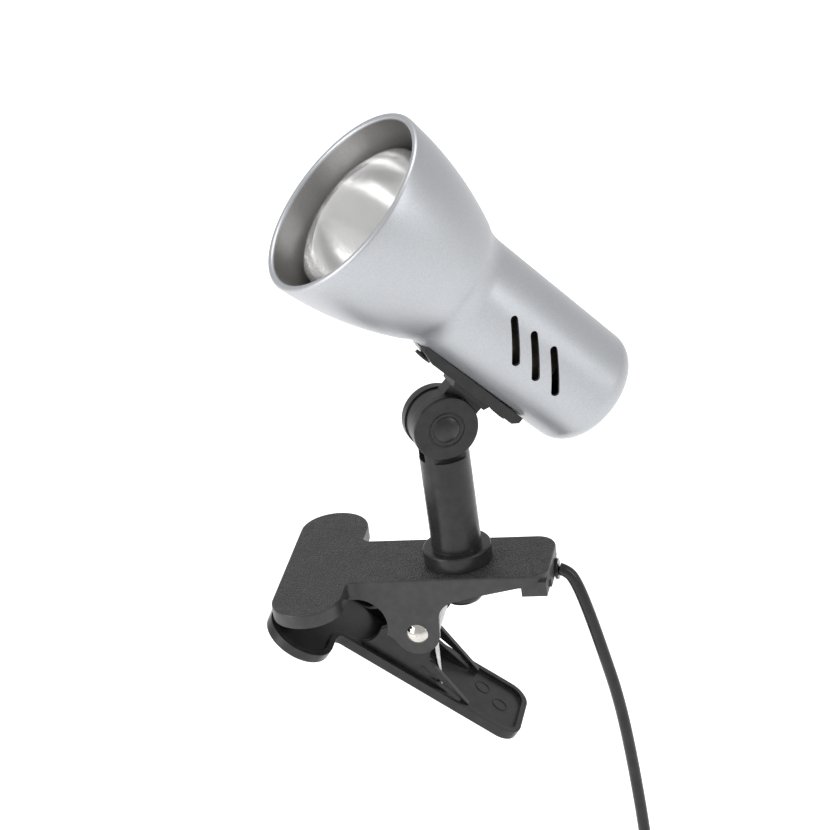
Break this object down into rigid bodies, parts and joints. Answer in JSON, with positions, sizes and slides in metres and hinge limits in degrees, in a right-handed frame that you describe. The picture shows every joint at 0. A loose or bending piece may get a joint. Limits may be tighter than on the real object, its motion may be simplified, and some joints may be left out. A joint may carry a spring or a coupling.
{
  "type": "clip-on reading lamp",
  "caption": "Clip-on reading lamp: a reflector head with a bell-shaped shade on a tilting, swivelling stem, held by a sprung jaw clamp, with a switched mains cord.",
  "frame": {"origin": "middle of the line where the closed jaws grip", "axes": "+Z square to the upper jaw's top face, +X along the lever towards the end the cord leaves, -Y towards the side with the rivet head in view"},
  "size_m": [0.1506, 0.1011, 0.5328],
  "materials": {
    "shade_silver": "satin metallic silver paint with a fine grain",
    "jaw_black": "black nylon, fine leather-grain texture on the outer faces, smooth satin walls",
    "stem_black": "satin black moulded nylon",
    "bulb_mirror": "thin lamp glass with a silvered reflector behind a clear front",
    "cap_nickel": "nickel-plated brass screw cap",
    "solder": "dull solder",
    "brass": "bright brass strip",
    "bakelite": "black phenolic moulding",
    "rivet_chrome": "bright chrome plate",
    "spring_steel": "bright drawn spring wire",
    "zinc_steel": "zinc-plated steel",
    "washer_nylon": "dry nylon",
    "pad_rubber": "matt black moulded rubber",
    "cord_black": "black PVC, slightly glossy",
    "switch_black": "black moulded plastic",
    "plug_black": "black moulded PVC"
  },
  "bodies": {
    "clamp": {"upper_jaw": "jaw_black", "upper_grip_pad": "pad_rubber", "pivot_rivet": "rivet_chrome", "jaw_spring_upper": "spring_steel", "cord_bush": "cord_black", "cord_clamp": "jaw_black", "cord_clamp_screws": "zinc_steel", "cord_drop": "cord_black", "cord_hang": "cord_black", "cord_tail": "cord_black", "cord_coil": "cord_black", "coil_tie": "cord_black", "switch_front_cover": "switch_black", "switch_rear_cover": "switch_black", "switch_screw": "zinc_steel", "plug_body": "plug_black", "plug_pins": "cap_nickel"},
    "lower_lever": {"lower_jaw": "jaw_black", "lower_grip_pad": "pad_rubber", "jaw_spring_lower": "spring_steel"},
    "stem": {"stem_front_half": "stem_black", "stem_rear_half": "stem_black", "stem_retainer": "stem_black", "stem_lead": "cord_black", "hinge_bolt": "stem_black", "hinge_nut": "zinc_steel", "hinge_washers": "washer_nylon"},
    "head": {"shade": "shade_silver", "head_bracket": "stem_black", "bracket_screws": "stem_black", "bracket_nuts": "zinc_steel", "bulb_glass": "bulb_mirror", "bulb_cap": "cap_nickel", "bulb_eyelet": "solder", "lampholder_body": "bakelite", "lampholder_shell": "brass", "lampholder_contact": "brass", "lampholder_nut": "zinc_steel"},
    "rocker": {"switch_rocker": "switch_black"}
  },
  "joints": [
    {"name": "jaw_open", "type": "hinge", "parent": "clamp", "child": "lower_lever", "pos_m": [0.051, 0, -0.0185], "axis": [0, -1, 0], "range_deg": [0, 30], "stiffness_Nm_per_rad": 1.4, "springref_deg": -40.11},
    {"name": "stem_swivel", "type": "hinge", "parent": "clamp", "child": "stem", "pos_m": [0.068, 0, 0.006], "axis": [0, 0, 1], "range_deg": [-150, 150]},
    {"name": "head_tilt", "type": "hinge", "parent": "stem", "child": "head", "pos_m": [0.068, 0, 0.067], "axis": [-0.4695, 0.8829, 0], "range_deg": [-79.5, 40]},
    {"name": "switch_rock", "type": "hinge", "parent": "clamp", "child": "rocker", "pos_m": [0.1299, 0.001, -0.165], "axis": [1, 0, 0], "range_deg": [-7, 7]}
  ]
}
